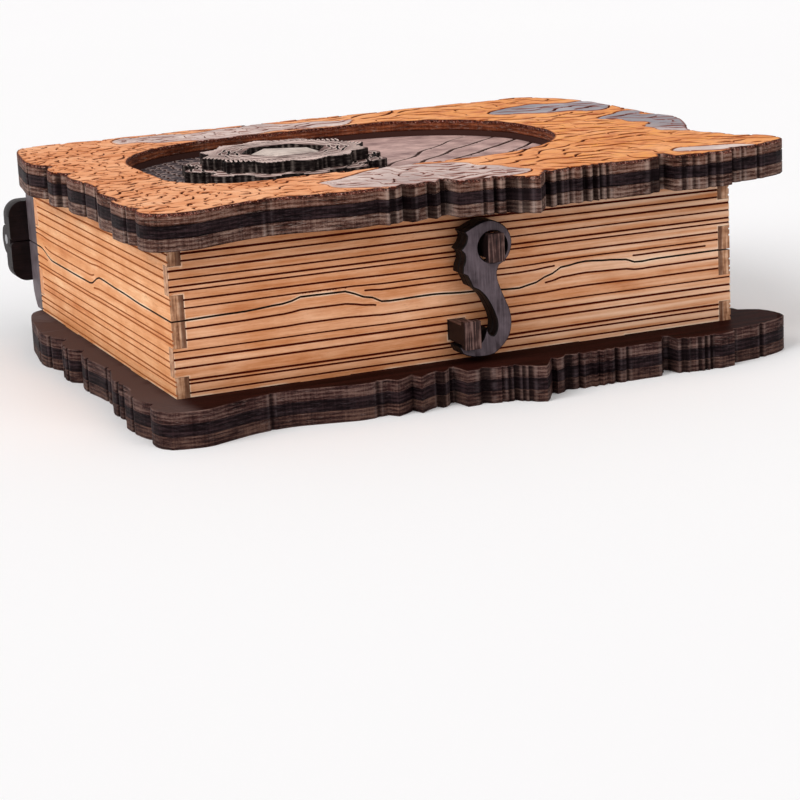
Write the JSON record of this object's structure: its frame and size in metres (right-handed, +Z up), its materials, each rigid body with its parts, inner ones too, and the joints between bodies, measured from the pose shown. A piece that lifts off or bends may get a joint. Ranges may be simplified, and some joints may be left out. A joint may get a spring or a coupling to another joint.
{
  "type": "dice storage chest",
  "caption": "Book-shaped plywood chest for dice: a divided base tray and a hinged lid tray between ragged stacked covers, shut by a hook latch.",
  "frame": {"origin": "centre of the tray walls' footprint, on the lower cover's outer face, which the chest rests on", "axes": "+X to the right along the front wall, +Y from the front wall towards the spine and hinge, +Z up"},
  "size_m": [0.1862, 0.173, 0.0608],
  "materials": {
    "cover_sheet": "dark stained birch plywood, satin",
    "cover_core": "darker stained plywood, satin",
    "grey_panel": "grey-black stained plywood, satin",
    "carved_sheet": "orange-brown stained plywood with engraved lines, satin",
    "medallion": "black stained plywood, satin",
    "boss": "grey stained plywood, satin",
    "page_wall": "warm oiled plywood with engraved page lines",
    "spine_board": "dark stained wood, satin",
    "hinge_wood": "black-brown stained wood, satin",
    "hinge_pin": "brushed steel",
    "peg": "dark stained plywood",
    "felt": "dark red felt",
    "divider": "oiled plywood",
    "hook": "slate-grey stained plywood, dark cut edges"
  },
  "bodies": {
    "base": {"bottom_cover_outer": "cover_sheet", "bottom_cover_middle": "cover_core", "bottom_cover_inner": "cover_sheet", "base_front_wall": "page_wall", "base_back_wall": "page_wall", "base_left_wall": "page_wall", "base_right_wall": "page_wall", "base_spine": "spine_board", "base_spine_left_end": "spine_board", "base_spine_right_end": "spine_board", "base_hinge_leaf": "hinge_wood", "hinge_pin": "hinge_pin", "catch_peg": "peg", "base_lining": "felt", "long_divider_front": "divider", "long_divider_back": "divider", "cross_divider_left": "divider", "cross_divider_middle": "divider", "cross_divider_right": "divider"},
    "lid": {"top_cover_inner": "cover_sheet", "top_cover_middle": "grey_panel", "top_cover_carved": "carved_sheet", "medallion_disc": "medallion", "medallion_star": "medallion", "medallion_boss": "boss", "lid_front_wall": "page_wall", "lid_back_wall": "page_wall", "lid_left_wall": "page_wall", "lid_right_wall": "page_wall", "lid_spine": "spine_board", "lid_spine_left_end": "spine_board", "lid_spine_right_end": "spine_board", "lid_hinge_leaf": "hinge_wood", "latch_pivot_peg": "peg", "lid_lining": "felt"},
    "latch": {"hook_back_layer": "hook", "hook_front_layer": "hook"}
  },
  "joints": [
    {"name": "lid_hinge", "type": "hinge", "parent": "base", "child": "lid", "pos_m": [0, 0.082, 0.0298], "axis": [-1, 0, 0], "range_deg": [0, 176]},
    {"name": "latch_swing", "type": "hinge", "parent": "lid", "child": "latch", "pos_m": [0.005, -0.0708, 0.04], "axis": [0, -1, 0], "range_deg": [0, 100]}
  ]
}
